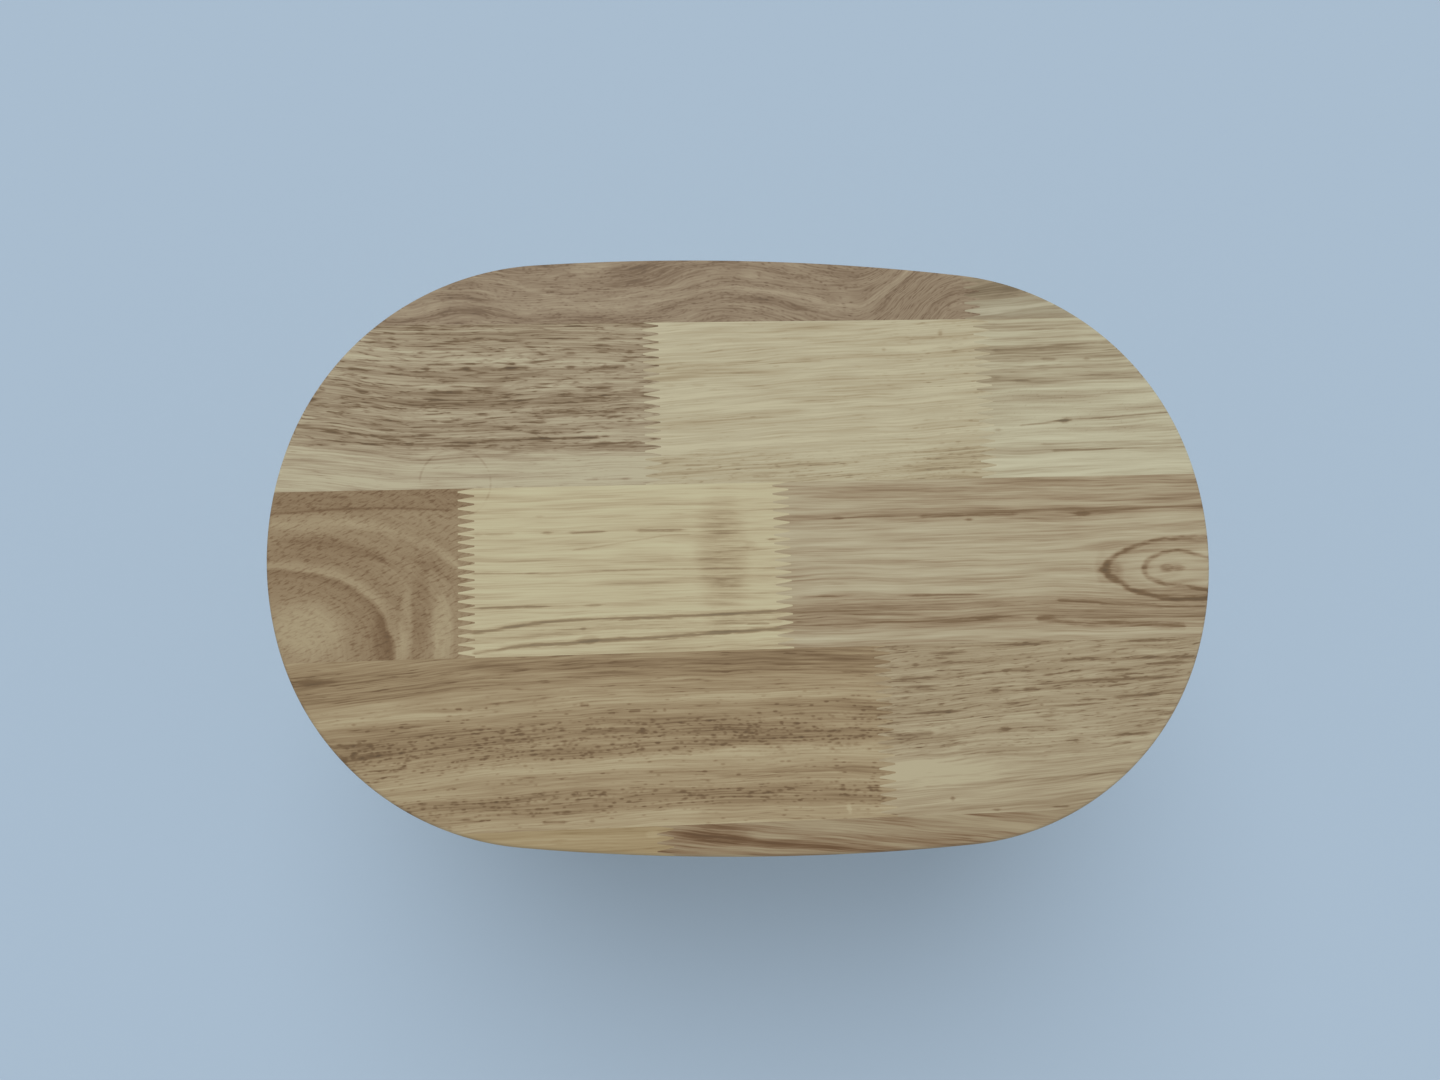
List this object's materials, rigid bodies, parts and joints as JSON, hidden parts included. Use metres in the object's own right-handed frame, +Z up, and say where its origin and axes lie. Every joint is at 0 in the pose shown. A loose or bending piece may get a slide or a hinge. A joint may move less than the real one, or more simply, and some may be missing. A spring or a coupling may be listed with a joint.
{
  "type": "bread bin",
  "caption": "Oval sheet-steel bread bin with a flat finger-jointed rubberwood lid that lifts off and doubles as a cutting board.",
  "frame": {"origin": "on the table, under the middle of the bin", "axes": "+X along the bin's length, -Y towards its front, +Z up"},
  "size_m": [0.34, 0.2154, 0.1683],
  "materials": {
    "powder_coat": "matt powder coat on sheet steel",
    "rubberwood_brown": "oiled, fine-sanded",
    "rubberwood_tan": "oiled, fine-sanded",
    "rubberwood_pale": "oiled, fine-sanded",
    "silicone": "matt translucent silicone",
    "rubber": "matt"
  },
  "bodies": {
    "bin": {"bin_wall": "powder_coat", "base_pan": "powder_coat", "foot_front_left": "rubber", "foot_front_right": "rubber", "foot_back_left": "rubber", "foot_back_right": "rubber"},
    "lid": {"lid_stave_1_left": "rubberwood_brown", "lid_stave_1_right": "rubberwood_tan", "lid_stave_2_left": "rubberwood_brown", "lid_stave_2_middle": "rubberwood_pale", "lid_stave_2_right": "rubberwood_pale", "lid_stave_3_left": "rubberwood_brown", "lid_stave_3_middle": "rubberwood_pale", "lid_stave_3_right": "rubberwood_tan", "lid_stave_4_left": "rubberwood_brown", "lid_stave_4_right": "rubberwood_tan", "lid_stave_5_left": "rubberwood_tan", "lid_stave_5_right": "rubberwood_brown", "lid_seal": "silicone"}
  },
  "joints": [
    {"name": "lid_lift", "type": "slide", "parent": "bin", "child": "lid", "axis": [0, 0, 1], "range_m": [0, 0.2]}
  ]
}
